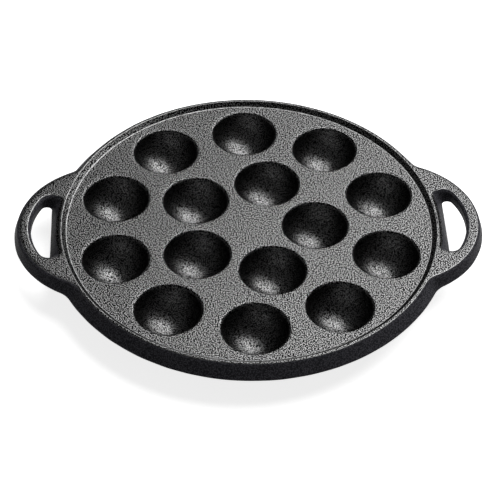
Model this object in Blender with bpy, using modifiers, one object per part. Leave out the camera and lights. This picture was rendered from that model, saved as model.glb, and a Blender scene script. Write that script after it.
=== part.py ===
"""Round cast iron escargot pan with fifteen snail wells, a low rim and two loop handles.

The pan is one sand casting. A thin plate carries ten wells on an outer ring and five on an inner one,
each a half ball that bulges out below. Round the plate runs a low rim with a short side wall that
flares outwards, and the rim's flat top runs on into the two loop handles, which have D-shaped holes.
Metres, +Z up, +X through the right handle. The origin lies under the pan's middle, on the table.
"""

from math import acos, asin, atan2, cos, pi, radians, sin, sqrt

import bmesh
import bpy

# Wells
WELL_RADIUS = 0.0200
WELL_DEPTH = 0.0200
WELL_LIP_ROUNDING = 0.0008
OUTER_RING_RADIUS = 0.0846
OUTER_RING_COUNT = 10
INNER_RING_RADIUS = 0.0396
INNER_RING_COUNT = 5

# Underside of the wells, whose flat bottoms are the feet
WELL_WALL = 0.0026
FOOT_RADIUS = 0.0055

# Plate, rim and side wall
PLATE_THICKNESS = 0.0040
PLATE_RADIUS = 0.1103
RIM_HEIGHT = 0.0026
RIM_SLOPE_WIDTH = 0.0025
RIM_CREST_WIDTH = 0.0020
RIM_INNER_ROUNDING = 0.0004
SIDE_HEIGHT = 0.0085
SIDE_SPREAD = 0.0062
SIDE_WALL = 0.0046
TOP_EDGE_ROUNDING = 0.0012
BOTTOM_EDGE_ROUNDING = 0.0018

# Loop handles at the rim's top. The reach is how far a handle's tip stands out past the rim's crest
HANDLE_RADIUS = 0.0524
HANDLE_REACH = 0.0244
HANDLE_ROOT_FILLET = 0.0125

# How far in over the loop's top its rounded edges begin, both outside and round the hole
HANDLE_EDGE_WIDTH = 0.0031

# What the handle's sizes gain or lose on the way down to the side wall's foot
HANDLE_RADIUS_GAIN = 0.0038
HANDLE_REACH_LOSS = 0.0044
HANDLE_FILLET_GAIN = 0.0031

# Handle holes: the loop that stays outside them, and their ends at the top and at the foot
LOOP_WIDTH = 0.0082
LOOP_WIDTH_GAIN = 0.0012
HOLE_END_MARGIN = 0.0015
HOLE_INNER_CORNER = 0.0040
HOLE_OUTER_CORNER = 0.0064
HOLE_FOOT_STEP = 0.0044
HOLE_FOOT_CORNER = 0.0035

# How far a cutter runs past the face that it opens
OVERRUN = 0.0010

# Turn between the first half and the second half of a hole's round end, which share no point
HOLE_END_TURN = radians(4)

# Facets
WELL_SEGMENTS = 24
WELL_RINGS = 5
BULGE_SEGMENTS = 16
BULGE_RINGS = 4
PLATE_SEGMENTS = 80

PLATE_TOP = WELL_DEPTH + WELL_WALL
PLATE_UNDERSIDE = PLATE_TOP - PLATE_THICKNESS
RIM_TOP = PLATE_TOP + RIM_HEIGHT
SIDE_BOTTOM = RIM_TOP - SIDE_HEIGHT
CREST_INNER_RADIUS = PLATE_RADIUS + RIM_SLOPE_WIDTH
CREST_OUTER_RADIUS = CREST_INNER_RADIUS + RIM_CREST_WIDTH
HOLE_HALF_LENGTH = HANDLE_REACH + HOLE_END_MARGIN


def clear_scene():
    for old in list(bpy.data.objects):
        bpy.data.objects.remove(old, do_unlink=True)


def new_collection(name):
    collection = bpy.data.collections.new(name)
    bpy.context.scene.collection.children.link(collection)
    return collection


def cast_iron():
    material = bpy.data.materials.new("black_cast_iron")
    material.use_nodes = True
    shader = material.node_tree.nodes["Principled BSDF"]
    shader.inputs["Base Color"].default_value = (0.040, 0.039, 0.042, 1.0)
    shader.inputs["Roughness"].default_value = 0.55
    shader.inputs["Metallic"].default_value = 0.35
    return material


def arc(centre, radius, start, end, steps):
    """Points on an arc in the plan, both ends included, from the start angle to the end angle."""
    angles = [start + (end - start) * i / steps for i in range(steps + 1)]
    return [(centre[0] + radius * cos(a), centre[1] + radius * sin(a)) for a in angles]


def edge_rounding(radius, steps):
    """Pairs of (distance from the face, distance from the wall) round a convex edge, from the face on."""
    angles = [0.5 * pi * i / steps for i in range(steps + 1)]
    return [(radius * (1 - cos(a)), radius * (1 - sin(a))) for a in angles]


def turned(name, profile, segments, collection, location=(0, 0, 0)):
    """A solid of revolution, from a profile of (radius, height) that runs down its outer side."""
    mesh = bpy.data.meshes.new(name)
    edges = [(i, i + 1) for i in range(len(profile) - 1)]
    mesh.from_pydata([(radius, 0, height) for radius, height in profile], edges, [])
    solid = bpy.data.objects.new(name, mesh)
    solid.location = location
    collection.objects.link(solid)
    screw = solid.modifiers.new("turn", "SCREW")
    screw.steps = segments
    screw.render_steps = segments
    screw.use_merge_vertices = True
    screw.merge_threshold = 0.00001
    return solid


def loft(name, sections, collection):
    """A closed solid through level outlines, each (height, points) with as many points as the others."""
    shape = bmesh.new()
    rings = []
    for height, outline in sections:
        rings.append([shape.verts.new((x, y, height)) for x, y in outline])
    for lower, upper in zip(rings, rings[1:]):
        for i, corner in enumerate(lower):
            following = (i + 1) % len(lower)
            shape.faces.new((corner, lower[following], upper[following], upper[i]))
    shape.faces.new(rings[0])
    shape.faces.new(rings[-1])
    bmesh.ops.recalc_face_normals(shape, faces=shape.faces)
    mesh = bpy.data.meshes.new(name)
    shape.to_mesh(mesh)
    shape.free()
    solid = bpy.data.objects.new(name, mesh)
    collection.objects.link(solid)
    return solid


def mark_as_cutter(solid):
    solid.hide_render = True
    solid.display_type = "WIRE"


def combine(solid, operation, tools):
    """Adds a Boolean modifier that joins or cuts with every object in the collection of tools."""
    step = solid.modifiers.new(tools.name, "BOOLEAN")
    step.operation = operation
    step.operand_type = "COLLECTION"
    step.collection = tools
    step.solver = "EXACT"
    for tool in tools.objects:
        mark_as_cutter(tool)


def handle_arc(fall):
    """Centre and radius of the handle's outer arc, from 0 at the rim's top to 1 at the wall's foot."""
    radius = HANDLE_RADIUS + HANDLE_RADIUS_GAIN * fall
    tip = CREST_OUTER_RADIUS + SIDE_SPREAD * fall + HANDLE_REACH - HANDLE_REACH_LOSS * fall
    return tip - radius, radius


def pan_outline(fall, inset, handle_inset):
    """The pan's outline in the plan: rim circle, two handle arcs and the fillets at their roots.

    It lies at a share of the side wall's fall, pulled in at the rim and at the handles by a rounded edge.
    """
    centre, radius = handle_arc(fall)
    rim = CREST_OUTER_RADIUS + SIDE_SPREAD * fall - inset
    fillet = HANDLE_ROOT_FILLET + HANDLE_FILLET_GAIN * fall
    to_rim = rim + fillet
    to_handle = radius - handle_inset + fillet
    fillet_x = (to_rim**2 - to_handle**2 + centre**2) / (2 * centre)
    fillet_y = sqrt(to_rim**2 - fillet_x**2)
    handle_end = atan2(fillet_y, fillet_x - centre)
    rim_start = atan2(fillet_y, fillet_x)

    quarter = arc((centre, 0), radius - handle_inset, 0, handle_end, 10)
    quarter += arc((fillet_x, fillet_y), fillet, handle_end + pi, rim_start + pi, 4)[1:]
    quarter += arc((0, 0), rim, rim_start, 0.5 * pi, 14)[1:]
    upper_half = quarter + [(-x, y) for x, y in reversed(quarter[:-1])]
    lower_half = [(x, -y) for x, y in reversed(upper_half[1:-1])]
    return upper_half + lower_half


def pan_blank(collection):
    """The solid between the rim's top and the side wall's foot, with its flare and rounded edges."""
    sections = []
    for drop, inset in edge_rounding(TOP_EDGE_ROUNDING, 2):
        handle_inset = inset * HANDLE_EDGE_WIDTH / TOP_EDGE_ROUNDING
        sections.append((RIM_TOP - drop, pan_outline(drop / SIDE_HEIGHT, inset, handle_inset)))
    for rise, inset in reversed(edge_rounding(BOTTOM_EDGE_ROUNDING, 3)):
        sections.append((SIDE_BOTTOM + rise, pan_outline(1 - rise / SIDE_HEIGHT, inset, inset)))
    return loft("pan_casting", sections, collection)


def rim_recess(collection):
    """Cuts the space inside the rim, down to the plate, with the slope that leads up to the crest."""
    crest = [(CREST_INNER_RADIUS + inset, RIM_TOP - drop)
             for drop, inset in edge_rounding(RIM_INNER_ROUNDING, 2)]
    profile = [(0, RIM_TOP + OVERRUN), (crest[0][0], RIM_TOP + OVERRUN)]
    profile += crest
    profile += [(PLATE_RADIUS, PLATE_TOP), (0, PLATE_TOP)]
    return turned("rim_recess", profile, PLATE_SEGMENTS, collection)


def underside_hollow(collection):
    """Cuts the open underside, which leaves the plate and the side wall."""
    foot_radius = CREST_OUTER_RADIUS + SIDE_SPREAD - SIDE_WALL
    head_radius = foot_radius - (PLATE_UNDERSIDE - SIDE_BOTTOM) * SIDE_SPREAD / SIDE_HEIGHT
    profile = [(0, PLATE_UNDERSIDE), (head_radius, PLATE_UNDERSIDE), (foot_radius, SIDE_BOTTOM),
               (foot_radius, SIDE_BOTTOM - OVERRUN), (0, SIDE_BOTTOM - OVERRUN)]
    return turned("underside_hollow", profile, PLATE_SEGMENTS, collection)


def hole_top_outline(growth, loop_growth):
    """The D-shaped outline of the right handle's hole at the rim's top.

    Its inner side follows the rim's crest, and two rounded corners stand on each of its ends. A rounded
    edge widens it, by one growth on the crest's side and by another on the loop's side.
    """
    centre, radius = handle_arc(0)
    outer = radius - LOOP_WIDTH
    outer_y = HOLE_HALF_LENGTH - HOLE_OUTER_CORNER
    outer_x = centre + sqrt((outer - HOLE_OUTER_CORNER)**2 - outer_y**2)
    inner_y = HOLE_HALF_LENGTH - HOLE_INNER_CORNER
    inner_x = sqrt((CREST_OUTER_RADIUS + HOLE_INNER_CORNER)**2 - inner_y**2)
    outer_end = atan2(outer_y, outer_x - centre)
    inner_end = atan2(inner_y, inner_x)

    half = arc((centre, 0), outer + loop_growth, 0, outer_end, 6)
    half += arc((outer_x, outer_y), HOLE_OUTER_CORNER + loop_growth, outer_end, 0.5 * pi, 3)[1:]
    half += arc((inner_x, inner_y), HOLE_INNER_CORNER + growth, 0.5 * pi, inner_end + pi, 3)
    half += arc((0, 0), CREST_OUTER_RADIUS - growth, inner_end, 0, 4)[1:]
    return half + [(x, -y) for x, y in reversed(half[1:-1])]


def hole_foot_outline(growth):
    """The outline of the right handle's hole at the side wall's foot, wider by the growth.

    Its inner side is straight, so the wall up to the crest leans, and each end is one round corner.
    """
    centre, radius = handle_arc(1)
    outer = radius - LOOP_WIDTH - LOOP_WIDTH_GAIN
    edge = CREST_OUTER_RADIUS + HOLE_FOOT_STEP
    end_x = edge + HOLE_FOOT_CORNER
    end_y = sqrt((outer - HOLE_FOOT_CORNER)**2 - (end_x - centre)**2)
    outer_end = atan2(end_y, end_x - centre)
    corner = HOLE_FOOT_CORNER + growth

    half = arc((centre, 0), outer + growth, 0, outer_end, 6)
    half += arc((end_x, end_y), corner, outer_end, 0.5 * pi, 3)[1:]
    half += arc((end_x, end_y), corner, 0.5 * pi + HOLE_END_TURN, pi, 3)
    half += [(edge - growth, end_y * i / 4) for i in (3, 2, 1, 0)]
    return half + [(x, -y) for x, y in reversed(half[1:-1])]


def handle_hole(name, side, collection):
    """Cuts one handle's hole, from side +1 on the right or -1 on the left, with rounded edges."""
    sections = [(RIM_TOP + OVERRUN, hole_top_outline(TOP_EDGE_ROUNDING, HANDLE_EDGE_WIDTH))]
    for drop, growth in edge_rounding(TOP_EDGE_ROUNDING, 2):
        loop_growth = growth * HANDLE_EDGE_WIDTH / TOP_EDGE_ROUNDING
        sections.append((RIM_TOP - drop, hole_top_outline(growth, loop_growth)))
    for rise, growth in reversed(edge_rounding(BOTTOM_EDGE_ROUNDING, 2)):
        sections.append((SIDE_BOTTOM + rise, hole_foot_outline(growth)))
    sections.append((SIDE_BOTTOM - OVERRUN, hole_foot_outline(BOTTOM_EDGE_ROUNDING)))
    mirrored = [(height, [(side * x, y) for x, y in outline]) for height, outline in sections]
    return loft(name, mirrored, collection)


def well_centres():
    """Plan centres of the wells: the outer ring straddles the handles' axis, the inner one starts on it."""
    outer_step = 2 * pi / OUTER_RING_COUNT
    inner_step = 2 * pi / INNER_RING_COUNT
    for i in range(OUTER_RING_COUNT):
        yield OUTER_RING_RADIUS * cos((i + 0.5) * outer_step), OUTER_RING_RADIUS * sin((i + 0.5) * outer_step)
    for i in range(INNER_RING_COUNT):
        yield INNER_RING_RADIUS * cos(i * inner_step), INNER_RING_RADIUS * sin(i * inner_step)


def well_profile():
    """The inside of a well, from above the plate down to its bottom."""
    lip = [(WELL_RADIUS + inset, -drop) for drop, inset in edge_rounding(WELL_LIP_ROUNDING, 1)]
    start = asin(WELL_LIP_ROUNDING / WELL_DEPTH)
    angles = [start + (0.5 * pi - start) * i / WELL_RINGS for i in range(1, WELL_RINGS)]
    bowl = [(WELL_RADIUS * cos(a), -WELL_DEPTH * sin(a)) for a in angles]
    return [(0, OVERRUN), (lip[0][0], OVERRUN)] + lip + bowl + [(0, -WELL_DEPTH)]


def bulge_profile():
    """The outside of a well, from the middle of the plate's thickness down to its flat foot."""
    radius = WELL_RADIUS + WELL_WALL
    foot_angle = acos(FOOT_RADIUS / radius)
    depth = (WELL_DEPTH + WELL_WALL) / sin(foot_angle)
    start = asin(0.5 * PLATE_THICKNESS / depth)
    angles = [start + (foot_angle - start) * i / BULGE_RINGS for i in range(BULGE_RINGS + 1)]
    bowl = [(radius * cos(a), -depth * sin(a)) for a in angles]
    return [(0, bowl[0][1])] + bowl + [(0, bowl[-1][1])]


def freeze(solid):
    """Replaces the modifiers by the mesh that they give, shaded smooth except at its sharp edges."""
    evaluated = solid.evaluated_get(bpy.context.evaluated_depsgraph_get())
    solid.data = bpy.data.meshes.new_from_object(evaluated)
    solid.modifiers.clear()
    solid.data.shade_smooth()
    solid.data.set_sharp_from_angle(angle=radians(35))


def build():
    clear_scene()
    pan_parts = new_collection("escargot_pan")
    hollows = new_collection("cutters_hollows")
    bulges = new_collection("well_bulges")
    wells = new_collection("cutters_wells")
    holes = new_collection("cutters_handle_holes")

    rim_recess(hollows)
    underside_hollow(hollows)
    for number, (x, y) in enumerate(well_centres(), start=1):
        turned(f"bulge_{number:02d}", bulge_profile(), BULGE_SEGMENTS, bulges, (x, y, PLATE_TOP))
        turned(f"well_{number:02d}", well_profile(), WELL_SEGMENTS, wells, (x, y, PLATE_TOP))
    handle_hole("hole_right", 1, holes)
    handle_hole("hole_left", -1, holes)

    pan = pan_blank(pan_parts)
    combine(pan, "DIFFERENCE", hollows)
    combine(pan, "UNION", bulges)
    combine(pan, "DIFFERENCE", wells)
    combine(pan, "DIFFERENCE", holes)
    freeze(pan)
    pan.data.materials.clear()
    pan.data.materials.append(cast_iron())


build()
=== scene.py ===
from math import acos, asin, atan2, cos, hypot, pi, radians, sin, sqrt

import bmesh
import bpy
import numpy as np
from mathutils import Matrix, Vector, geometry, noise


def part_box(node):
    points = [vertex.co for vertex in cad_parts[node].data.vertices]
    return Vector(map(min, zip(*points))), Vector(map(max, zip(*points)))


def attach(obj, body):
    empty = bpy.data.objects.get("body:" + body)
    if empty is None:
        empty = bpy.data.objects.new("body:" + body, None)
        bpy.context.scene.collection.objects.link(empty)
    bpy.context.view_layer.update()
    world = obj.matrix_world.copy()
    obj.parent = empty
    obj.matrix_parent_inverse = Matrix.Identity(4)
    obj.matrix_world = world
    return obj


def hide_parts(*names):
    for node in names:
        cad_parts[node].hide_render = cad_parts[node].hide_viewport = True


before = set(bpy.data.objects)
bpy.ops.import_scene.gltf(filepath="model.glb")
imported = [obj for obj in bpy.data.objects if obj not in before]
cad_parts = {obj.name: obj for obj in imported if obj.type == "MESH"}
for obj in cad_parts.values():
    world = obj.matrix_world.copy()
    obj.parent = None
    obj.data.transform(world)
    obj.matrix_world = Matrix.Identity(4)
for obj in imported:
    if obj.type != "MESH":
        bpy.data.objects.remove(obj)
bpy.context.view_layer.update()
table_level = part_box("pan_casting")[0][2]
rim_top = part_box("pan_casting")[1][2]

# The pan stands on a table, seen from in front and half from above, through a long lens. The camera
# is a few degrees to the left of the line square to the handles, and is tipped by just over a degree.
view_azimuth = radians(-3.26)
view_elevation = radians(44.5)
view_tip = radians(1.36)
view_distance = 1.1876
view_lens = 143.6
view_film = 36
view_reach = 40
rim_height = 0.0026
plate_top = rim_top - rim_height
view_target = Vector((-0.0004, -0.0208, plate_top))

away = Vector((
    sin(view_azimuth) * cos(view_elevation),
    -cos(view_azimuth) * cos(view_elevation),
    sin(view_elevation),
))
level_right = Vector((cos(view_azimuth), sin(view_azimuth), 0))
level_up = away.cross(level_right)
camera_right = cos(view_tip) * level_right + sin(view_tip) * level_up
camera_up = cos(view_tip) * level_up - sin(view_tip) * level_right
camera = bpy.data.objects.new("camera", bpy.data.cameras.new("camera"))
camera.data.lens = view_lens
camera.data.sensor_width = view_film
camera.data.clip_end = view_reach
camera.matrix_world = (
    Matrix.Translation(view_target + view_distance * away)
    @ Matrix((camera_right, camera_up, away)).transposed().to_4x4()
)
bpy.context.scene.collection.objects.link(camera)
bpy.context.scene.camera = camera

# Fifteen snail wells, ten round five, are sunk in the plate of the cast iron pan. Each is a half ball
# with a softened lip. Sand cores form them and their bulges below in one go, so their wall is even.
# The whole pan is a single casting, so every area's faces, from here on, join one closed mesh.
casting = bmesh.new()
finishes = []
grazing_shine = (0.35, 0.35, 0.35, 1)
pan_corners = 360
net_clearance = 0.6
same_point = 1e-9


def iron(name, pit_shade, light, grain, contrast, roughness, relief, metallic, mirror, level):
    """Cast iron with a pebbled skin: its colour is painted dark in the pits between its grains, as painted
    shade, and light on their tops, so that these shine.
    """
    material = bpy.data.materials.new(name)
    material.use_nodes = True
    nodes = material.node_tree.nodes
    links = material.node_tree.links
    shader = nodes["Principled BSDF"]
    shader.inputs["Metallic"].default_value = metallic
    shader.inputs["Specular IOR Level"].default_value = mirror
    shader.inputs["Specular Tint"].default_value = grazing_shine
    shader.inputs["Roughness"].default_value = roughness
    place = nodes.new("ShaderNodeTexCoord")
    grains = nodes.new("ShaderNodeTexVoronoi")
    grains.voronoi_dimensions = "2D" if level else "3D"
    grains.inputs["Scale"].default_value = 1 / grain
    links.new(place.outputs["Object"], grains.inputs["Vector"])
    # Each grain's distance from its centre paints the colour: light on the grain's top, and painted shade in
    # the pits between grains.
    shade = nodes.new("ShaderNodeValToRGB")
    shade.color_ramp.elements[0].position = contrast[0]
    shade.color_ramp.elements[0].color = (*light, 1)
    shade.color_ramp.elements[1].position = contrast[1]
    shade.color_ramp.elements[1].color = (*pit_shade, 1)
    links.new(grains.outputs["Distance"], shade.inputs["Fac"])
    links.new(shade.outputs["Color"], shader.inputs["Base Color"])
    bump = nodes.new("ShaderNodeBump")
    bump.inputs["Strength"].default_value = 1
    bump.inputs["Distance"].default_value = relief
    bump.invert = True
    links.new(grains.outputs["Distance"], bump.inputs["Height"])
    links.new(bump.outputs["Normal"], shader.inputs["Normal"])
    finishes.append(material)
    return material


def arc(centre, radius, start, end, steps):
    """Plan points on an arc, both ends included, from the start angle to the end angle."""
    angles = [start + (end - start) * i / steps for i in range(steps + 1)]
    return [(centre[0] + radius * cos(a), centre[1] + radius * sin(a)) for a in angles]


def circle(radius, centre=(0, 0), steps=pan_corners):
    """Plan points all round a circle."""
    return arc(centre, radius, 0, 2 * pi, steps)[:-1]


def ring(outline, height):
    """The casting's corners along one closed outline, at a height."""
    return [casting.verts.new((x, y, height)) for x, y in outline]


def skin(rings, finish):
    """Bands of faces from each ring of corners to the next one, which has as many."""
    faces = []
    for first, second in zip(rings, rings[1:]):
        for i, corner in enumerate(first):
            after = (i + 1) % len(first)
            band = casting.faces.new((corner, first[after], second[after], second[i]))
            band.material_index = finishes.index(finish)
            faces.append(band)
    return faces


def inside(points, loop):
    """Which points lie inside a closed loop, by counting the edges that a ray from each one crosses."""
    start = np.array(loop)
    end = np.roll(start, -1, axis=0)
    x, y = points[:, :1], points[:, 1:]
    spans = (start[:, 1] > y) != (end[:, 1] > y)
    rise = np.where(end[:, 1] == start[:, 1], 1, end[:, 1] - start[:, 1])
    crossing = start[:, 0] + (y - start[:, 1]) / rise * (end[:, 0] - start[:, 0])
    return (spans & (x < crossing)).sum(axis=1) % 2 == 1


def flat_face(outer, openings, spacing, finish):
    """An even net of triangles over a level face, from its outer loop to the loops of its openings."""
    loops = [outer] + openings
    corners = [corner for loop in loops for corner in loop]
    plans = [[(corner.co.x, corner.co.y) for corner in loop] for loop in loops]
    height = outer[0].co.z
    edges = []
    for loop in loops:
        first = len(edges)
        edges += [(first + i, first + (i + 1) % len(loop)) for i in range(len(loop))]

    low, high = np.min(plans[0], axis=0), np.max(plans[0], axis=0)
    row_step = spacing * sqrt(3) / 2
    net = []
    for row in range(int((high[1] - low[1]) / row_step)):
        shift = spacing * (0.5 if row % 2 else 0)
        for column in range(int((high[0] - low[0]) / spacing)):
            net.append((low[0] + shift + column * spacing, low[1] + (row + 0.5) * row_step))
    net = np.array(net)
    kept = inside(net, plans[0])
    for opening in plans[1:]:
        kept &= ~inside(net, opening)
    net = net[kept]
    border = np.array([point for plan in plans for point in plan])
    clear = [np.hypot(*(border - point).T).min() > net_clearance * spacing for point in net]
    net = net[clear]
    corners += ring(net, height)

    places = [corner.co.xy for corner in corners]
    points, _, triangles, origins, _, _ = geometry.delaunay_2d_cdt(places, edges, [], 0, same_point)
    centres = np.array([np.mean([points[i] for i in triangle], axis=0) for triangle in triangles])
    kept = inside(centres, plans[0])
    for opening in plans[1:]:
        kept &= ~inside(centres, opening)
    for triangle, wanted in zip(triangles, kept):
        if wanted:
            face = casting.faces.new([corners[origins[i][0]] for i in triangle])
            face.material_index = finishes.index(finish)


sand_grain = iron(
    "sand_grain", pit_shade=(0.004, 0.004, 0.004), light=(0.285, 0.285, 0.285), grain=0.0009,
    contrast=(0.16, 0.40), roughness=0.29, relief=0.00008, metallic=0.9, mirror=0.3, level=True,
)
# The wells' skin has a finer grain than the plate's and is painted brighter all over: painted light in the
# wells.
bowl_grain_with_painted_light = iron(
    "bowl_grain_with_painted_light", pit_shade=(0.006, 0.006, 0.006), light=(0.31, 0.31, 0.31), grain=0.00062,
    contrast=(0.34, 0.60), roughness=0.32, relief=0.00008, metallic=1, mirror=0.5, level=False,
)
well_radius = 0.0193
well_depth = 0.0200
well_floor_spacing = 0.0008
lip_rounding = 0.0019
lip_rings = 7
grained_lip_rings = 4
well_corners = 72
bowl_rings = 18
outer_ring_radius = 0.0846
outer_ring_wells = 10
inner_ring_radius = 0.0396
inner_ring_wells = 5
outer_step = 2 * pi / outer_ring_wells
inner_step = 2 * pi / inner_ring_wells
well_centres = [
    (outer_ring_radius * cos((i + 0.5) * outer_step), outer_ring_radius * sin((i + 0.5) * outer_step))
    for i in range(outer_ring_wells)
]
well_centres += [
    (inner_ring_radius * cos(i * inner_step), inner_ring_radius * sin(i * inner_step))
    for i in range(inner_ring_wells)
]

lip_end = asin(lip_rounding / (well_radius + lip_rounding))
mouth_radius = (well_radius + lip_rounding) * cos(lip_end)
bowl_start = asin(well_radius * sin(lip_end) / well_depth)
well_mouths = []
for centre in well_centres:
    rings = []
    for i in range(lip_rings + 1):
        turn = (0.5 * pi - lip_end) * i / lip_rings
        outline = circle(mouth_radius - lip_rounding * sin(turn), centre, well_corners)
        rings.append(ring(outline, plate_top - lip_rounding * (1 - cos(turn))))
    for i in range(1, bowl_rings):
        angle = bowl_start + (0.5 * pi - bowl_start) * i / bowl_rings
        outline = circle(well_radius * cos(angle), centre, well_corners)
        rings.append(ring(outline, plate_top - well_depth * sin(angle)))
    well_mouths.append(rings[0])
    skin(rings[:grained_lip_rings + 1], sand_grain)
    # Below the lip, the bowl takes the brighter finish, as painted light.
    skin(rings[grained_lip_rings:], bowl_grain_with_painted_light)
    flat_face(rings[-1], [], well_floor_spacing, bowl_grain_with_painted_light)

# The plate between the wells is flat, and keeps the pebbled skin of the sand that it was poured against.
# At its edge a small hollow fillet leads up the slope of the rim, whose crest is a narrow flat band.
# The fillet and the crest's edge are painted brighter than the slope between them, as a painted highlight
# along both edges.
painted_edge_highlight = iron(
    "painted_edge_highlight", pit_shade=(0.10, 0.10, 0.10), light=(0.34, 0.34, 0.34), grain=0.0006,
    contrast=(0.3, 0.6), roughness=0.30, relief=0.00003, metallic=0.9, mirror=0.3, level=False,
)
plate_radius = 0.1103
plate_spacing = 0.0020
slope_width = 0.0025
crest_width = 0.0020
base_fillet = 0.0005
base_fillet_spread = 1.2
crest_rounding = 0.00035
slope_edge_rings = 4
crest_inner_radius = plate_radius + slope_width
crest_outer_radius = crest_inner_radius + crest_width

slope_rings = [ring(circle(plate_radius - base_fillet), plate_top)]
slope_angle = atan2(rim_height, slope_width)
for i in range(1, slope_edge_rings + 1):
    turn = slope_angle * i / slope_edge_rings
    reach = base_fillet * (base_fillet_spread * sin(turn) / sin(slope_angle) - 1)
    lift = base_fillet * (1 - cos(turn)) / sin(slope_angle)
    slope_rings.append(ring(circle(plate_radius + reach), plate_top + lift))
for i in range(slope_edge_rings + 1):
    turn = slope_angle * (1 - i / slope_edge_rings)
    reach = crest_rounding * (1 - sin(turn) / sin(slope_angle))
    drop = crest_rounding * (1 - cos(turn)) / sin(slope_angle)
    slope_rings.append(ring(circle(crest_inner_radius + reach), rim_top - drop))
flat_face(slope_rings[0], well_mouths, plate_spacing, sand_grain)
skin(slope_rings[:slope_edge_rings + 1], painted_edge_highlight)
skin(slope_rings[slope_edge_rings:slope_edge_rings + 2], sand_grain)
skin(slope_rings[slope_edge_rings + 1:], painted_edge_highlight)

# Two loop handles grow out of the rim at its own height, cast with it. Their outline and that of the
# D-shaped holes change on the way down, because the side wall flares out so that it leaves the sand.
# The wall's own skin is smoother than the plate's, and its black seasoning hardly shines.
smooth_skin = iron(
    "smooth_skin", pit_shade=(0.021, 0.021, 0.024), light=(0.066, 0.065, 0.074), grain=0.0008,
    contrast=(0.3, 0.6), roughness=0.45, relief=0.0001, metallic=0, mirror=0.02, level=False,
)
side_height = 0.0085
side_spread = 0.0062
handle_radius = 0.0524
handle_reach = 0.0244
root_fillet = 0.0125
handle_radius_gain = 0.0038
handle_reach_loss = 0.0036
handle_fillet_gain = 0.0031
top_rounding = 0.0012
handle_edge_width = 0.0030
handle_edge_drop = 0.0014
foot_rounding = 0.0015
handle_arc_steps = 40
root_fillet_steps = 12
rim_arc_steps = 70
edge_rings = 12
foot_rings = 6
grained_edge_rings = 4
side_foot = rim_top - side_height


def handle_arc(fall):
    """Centre and radius of the handle's outer arc, from 0 at the rim's top to 1 at the wall's foot."""
    radius = handle_radius + handle_radius_gain * fall
    tip = crest_outer_radius + side_spread * fall + handle_reach - handle_reach_loss * fall
    return tip - radius, radius


def pan_outline(fall, inset, handle_inset):
    """The pan's outline at a share of the side wall's fall, pulled in round a softened edge."""
    centre, radius = handle_arc(fall)
    radius -= handle_inset
    rim = crest_outer_radius + side_spread * fall - inset
    fillet = root_fillet + handle_fillet_gain * fall
    to_rim = rim + fillet
    to_handle = radius + fillet
    fillet_x = (to_rim**2 - to_handle**2 + centre**2) / (2 * centre)
    fillet_y = sqrt(to_rim**2 - fillet_x**2)
    fillet_centre = (fillet_x, fillet_y)
    handle_end = atan2(fillet_y, fillet_x - centre)
    rim_start = atan2(fillet_y, fillet_x)
    quarter = arc((centre, 0), radius, 0, handle_end, handle_arc_steps)
    quarter += arc(fillet_centre, fillet, handle_end + pi, rim_start + pi, root_fillet_steps)[1:]
    quarter += arc((0, 0), rim, rim_start, 0.5 * pi, rim_arc_steps)[1:]
    upper_half = quarter + [(-x, y) for x, y in reversed(quarter[:-1])]
    return upper_half + [(x, -y) for x, y in reversed(upper_half[1:-1])]


def rounding(radius, steps):
    """Pairs of (distance from the face, distance from the wall) round a convex edge, from the face on."""
    angles = [0.5 * pi * i / steps for i in range(steps + 1)]
    return [(radius * (1 - cos(a)), radius * (1 - sin(a))) for a in angles]


wall_rings = []
for drop, inset in rounding(1, edge_rings):
    outline = pan_outline(drop * top_rounding / side_height, inset * top_rounding, inset * handle_edge_width)
    corners = ring(outline, rim_top)
    # The loops' rounded outer edges reach a little deeper than the rim's.
    for corner in corners:
        beyond = (hypot(corner.co.x, corner.co.y) - crest_outer_radius) / root_fillet
        deeper = (handle_edge_drop - top_rounding) * min(1, max(0, beyond))
        corner.co.z -= drop * (top_rounding + deeper)
    wall_rings.append(corners)
for rise, inset in reversed(rounding(foot_rounding, foot_rings)):
    wall_rings.append(ring(pan_outline(1 - rise / side_height, inset, inset), side_foot + rise))
skin(wall_rings[:grained_edge_rings + 1], sand_grain)
# The band under the rounded top edge takes the brighter finish: a painted highlight along the edge.
skin(wall_rings[grained_edge_rings:grained_edge_rings + 2], painted_edge_highlight)
skin(wall_rings[grained_edge_rings + 1:], smooth_skin)

loop_width = 0.0082
loop_width_gain = 0.0021
hole_half_length = 0.0259
hole_inner_corner = 0.0040
hole_outer_corner = 0.0064
hole_foot_step = 0.0047
hole_foot_corner = 0.0033
hole_edge_width = 0.0031
hole_edge_drop = 0.0024
hole_arc_steps = 24
hole_corner_steps = 10
hole_side_steps = 20
half_end_turn = radians(1)
grained_hole_rings = 2
ledge_share = 0.36
ledge_width = 0.0014
ledge_level = 0.6


def hole_top(growth, loop_growth):
    """The right hole's D at the rim's top, widened by rounded edges on the crest's and the loop's side."""
    centre, radius = handle_arc(0)
    outer = radius - loop_width
    outer_y = hole_half_length - hole_outer_corner
    outer_x = centre + sqrt((outer - hole_outer_corner)**2 - outer_y**2)
    inner_y = hole_half_length - hole_inner_corner
    inner_x = sqrt((crest_outer_radius + hole_inner_corner)**2 - inner_y**2)
    outer_end = atan2(outer_y, outer_x - centre)
    inner_end = atan2(inner_y, inner_x)
    outer_corner = hole_outer_corner + loop_growth
    inner_corner = hole_inner_corner + growth
    half = arc((centre, 0), outer + loop_growth, 0, outer_end, hole_arc_steps)
    half += arc((outer_x, outer_y), outer_corner, outer_end, 0.5 * pi, hole_corner_steps)[1:]
    half += arc((inner_x, inner_y), inner_corner, 0.5 * pi, inner_end + pi, hole_corner_steps)
    half += arc((0, 0), crest_outer_radius - growth, inner_end, 0, hole_side_steps)[1:]
    return half + [(x, -y) for x, y in reversed(half[1:-1])]


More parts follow.
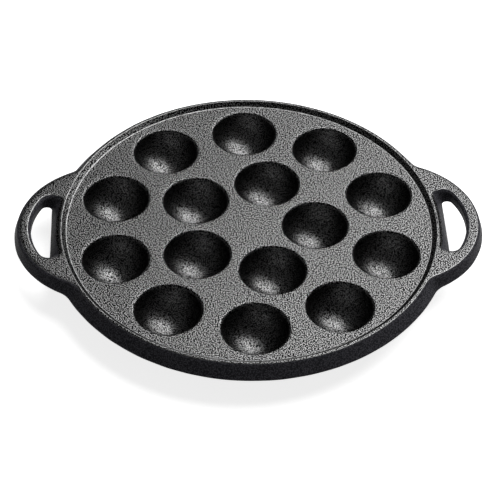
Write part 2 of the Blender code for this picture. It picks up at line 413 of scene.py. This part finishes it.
def hole_foot(growth):
    """The right hole at the wall's foot: its inner side is straight, and each end is one round corner."""
    centre, radius = handle_arc(1)
    outer = radius - loop_width - loop_width_gain
    edge = crest_outer_radius + hole_foot_step
    end_x = edge + hole_foot_corner
    end_y = sqrt((outer - hole_foot_corner)**2 - (end_x - centre)**2)
    outer_end = atan2(end_y, end_x - centre)
    corner = hole_foot_corner + growth
    half = arc((centre, 0), outer + growth, 0, outer_end, hole_arc_steps)
    half += arc((end_x, end_y), corner, outer_end, 0.5 * pi, hole_corner_steps)[1:]
    half += arc((end_x, end_y), corner, 0.5 * pi + half_end_turn, pi, hole_corner_steps)
    half += [(edge - growth, end_y * i / hole_side_steps) for i in reversed(range(hole_side_steps))]
    return half + [(x, -y) for x, y in reversed(half[1:-1])]


hole_rings = []
for side in (1, -1):
    rings = []
    for drop, inset in rounding(1, edge_rings):
        top = hole_top(inset * top_rounding, inset * hole_edge_width)
        share = drop * ledge_share
        outline = [
            (side * (a[0] + share * (b[0] - a[0])), a[1] + share * (b[1] - a[1]))
            for a, b in zip(top, hole_foot(0))
        ]
        rings.append(ring(outline, rim_top - drop * hole_edge_drop))
    for rise, growth in reversed(rounding(foot_rounding, foot_rings)):
        rings.append(ring([(side * x, y) for x, y in hole_foot(growth)], side_foot + rise))
    skin(rings[:grained_hole_rings + 1], sand_grain)
    # The band under the hole's rounded top edge takes the brighter finish: a painted highlight along the
    # edge.
    skin(rings[grained_hole_rings:grained_hole_rings + 2], painted_edge_highlight)
    # Beside the crest, the hole's wall starts with a nearly level ledge, which has the plate's grain.
    for face in skin(rings[grained_hole_rings + 1:], smooth_skin):
        face.normal_update()
        middle = face.calc_center_median()
        beside_crest = hypot(middle.x, middle.y) < crest_outer_radius + ledge_width
        if beside_crest and abs(face.normal.z) > ledge_level:
            face.material_index = finishes.index(sand_grain)
    hole_rings.append(rings)
crest_openings = [slope_rings[-1], hole_rings[0][0], hole_rings[1][0]]
flat_face(wall_rings[0], crest_openings, plate_spacing, sand_grain)

# Below, the plate is open inside the side wall, and every well bulges down as the outside of its core.
# Each bulge ends in a small flat, and the pan stands on all fifteen. This side is left as it was cast.
rough_skin = iron(
    "rough_skin", pit_shade=(0.02, 0.02, 0.02), light=(0.10, 0.097, 0.095), grain=0.0012,
    contrast=(0.3, 0.6), roughness=0.4, relief=0.0001, metallic=1, mirror=0.5, level=False,
)
side_wall = 0.0046
plate_thickness = 0.0040
well_wall = 0.0026
foot_radius = 0.0055
foot_spacing = 0.0020
bulge_fillet = 0.0006
bulge_corners = 64
bulge_rings = 14
fillet_rings = 4
underside_spacing = 0.0030
underside = plate_top - plate_thickness
hollow_foot = crest_outer_radius + side_spread - side_wall
hollow_head = hollow_foot - (underside - side_foot) * side_spread / side_height

hollow_rings = [ring(circle(hollow_foot), side_foot), ring(circle(hollow_head), underside)]
skin(hollow_rings, rough_skin)
foot_openings = [hollow_rings[0], hole_rings[0][-1], hole_rings[1][-1]]
flat_face(wall_rings[-1], foot_openings, underside_spacing, rough_skin)

ball_radius = well_depth + well_wall
foot_angle = acos(foot_radius / ball_radius)
ball_depth = (plate_top - table_level) / sin(foot_angle)
head_angle = asin((plate_thickness + bulge_fillet) / ball_depth)
neck_radius = ball_radius * cos(head_angle)
bulge_heads = []
for centre in well_centres:
    rings = []
    for drop, spread in rounding(bulge_fillet, fillet_rings):
        rings.append(ring(circle(neck_radius + spread, centre, bulge_corners), underside - drop))
    for i in range(1, bulge_rings + 1):
        angle = head_angle + (foot_angle - head_angle) * i / bulge_rings
        outline = circle(ball_radius * cos(angle), centre, bulge_corners)
        rings.append(ring(outline, plate_top - ball_depth * sin(angle)))
    bulge_heads.append(rings[0])
    skin(rings, rough_skin)
    flat_face(rings[-1], [], foot_spacing, rough_skin)
flat_face(hollow_rings[1], bulge_heads, underside_spacing, rough_skin)

# Sand never leaves iron quite true: the whole casting is a few hundredths of a millimetre uneven,
# in waves as long as a fingertip. Its edges catch the light in slightly broken lines because of it.
# Only the small flats that it stands on stay level.
wave_height = 0.00010
wave_length = 0.009
flat_foot_height = 0.001
sharp_edge = radians(50)
bmesh.ops.recalc_face_normals(casting, faces=casting.faces)
casting.normal_update()
for corner in casting.verts:
    if corner.co.z > table_level + flat_foot_height:
        corner.co += corner.normal * wave_height * noise.noise(corner.co / wave_length)
pan_mesh = bpy.data.meshes.new("cast_pan")
casting.to_mesh(pan_mesh)
casting.free()
pan_mesh.shade_smooth()
pan_mesh.set_sharp_from_angle(angle=sharp_edge)
for finish in finishes:
    pan_mesh.materials.append(finish)
pan = bpy.data.objects.new("cast_pan", pan_mesh)
bpy.context.scene.collection.objects.link(pan)
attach(pan, "root")
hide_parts("pan_casting")

# A plain white sheet of board lies under the pan, far wider than the picture.
# It shows almost white to the eye and in reflections, and still keeps the pan's shadow.
board_reach = 10
board_tone = (0.8, 0.8, 0.8, 1)
board_glow = 0.8
board_corners = [
    (board_reach * x, board_reach * y, table_level)
    for x, y in ((-1, -1), (1, -1), (1, 1), (-1, 1))
]
floor_mesh = bpy.data.meshes.new("floor")
floor_mesh.from_pydata(board_corners, [], [(0, 1, 2, 3)])
floor = bpy.data.objects.new("floor", floor_mesh)
bpy.context.scene.collection.objects.link(floor)
board = bpy.data.materials.new("white_board")
board.use_nodes = True
board_nodes = board.node_tree.nodes
board_links = board.node_tree.links
board_shader = board_nodes["Principled BSDF"]
board_shader.inputs["Base Color"].default_value = board_tone
board_shader.inputs["Roughness"].default_value = 0.9
board_shader.inputs["Specular IOR Level"].default_value = 0
board_shader.inputs["Emission Color"].default_value = (1, 1, 1, 1)
seen = board_nodes.new("ShaderNodeLightPath")
seen_or_mirrored = board_nodes.new("ShaderNodeMath")
seen_or_mirrored.operation = "MAXIMUM"
board_links.new(seen.outputs["Is Camera Ray"], seen_or_mirrored.inputs[0])
board_links.new(seen.outputs["Is Glossy Ray"], seen_or_mirrored.inputs[1])
seen_any_way = board_nodes.new("ShaderNodeMath")
seen_any_way.operation = "MAXIMUM"
board_links.new(seen_or_mirrored.outputs[0], seen_any_way.inputs[0])
board_links.new(seen.outputs["Is Transmission Ray"], seen_any_way.inputs[1])
glow = board_nodes.new("ShaderNodeMath")
glow.operation = "MULTIPLY"
glow.inputs[1].default_value = board_glow
board_links.new(seen_any_way.outputs[0], glow.inputs[0])
board_links.new(glow.outputs[0], board_shader.inputs["Emission Strength"])
floor_mesh.materials.append(board)

# One soft lamp stands behind the pan on the right, and the room gives a little light from all round.
# The lamp is a wide disk, so that it shines back from the plate and from low in each well.
lamp_direction = Vector((0.405, 0.484, 0.776)).normalized()
lamp_distance = 1.3
lamp_width = 1.6
lamp_power = 26
room_glow = 0.07
lamp = bpy.data.objects.new("softbox", bpy.data.lights.new("softbox", "AREA"))
lamp.data.shape = "DISK"
lamp.data.size = lamp_width
lamp.data.energy = lamp_power
lamp.location = Vector((0, 0, plate_top)) + lamp_distance * lamp_direction
lamp.rotation_euler = lamp_direction.to_track_quat("Z", "Y").to_euler()
bpy.context.scene.collection.objects.link(lamp)
room = bpy.data.worlds.new("room")
room.use_nodes = True
backdrop = room.node_tree.nodes["Background"]
backdrop.inputs["Color"].default_value = (1, 1, 1, 1)
backdrop.inputs["Strength"].default_value = room_glow
bpy.context.scene.world = room
bpy.context.scene.view_settings.view_transform = "Standard"
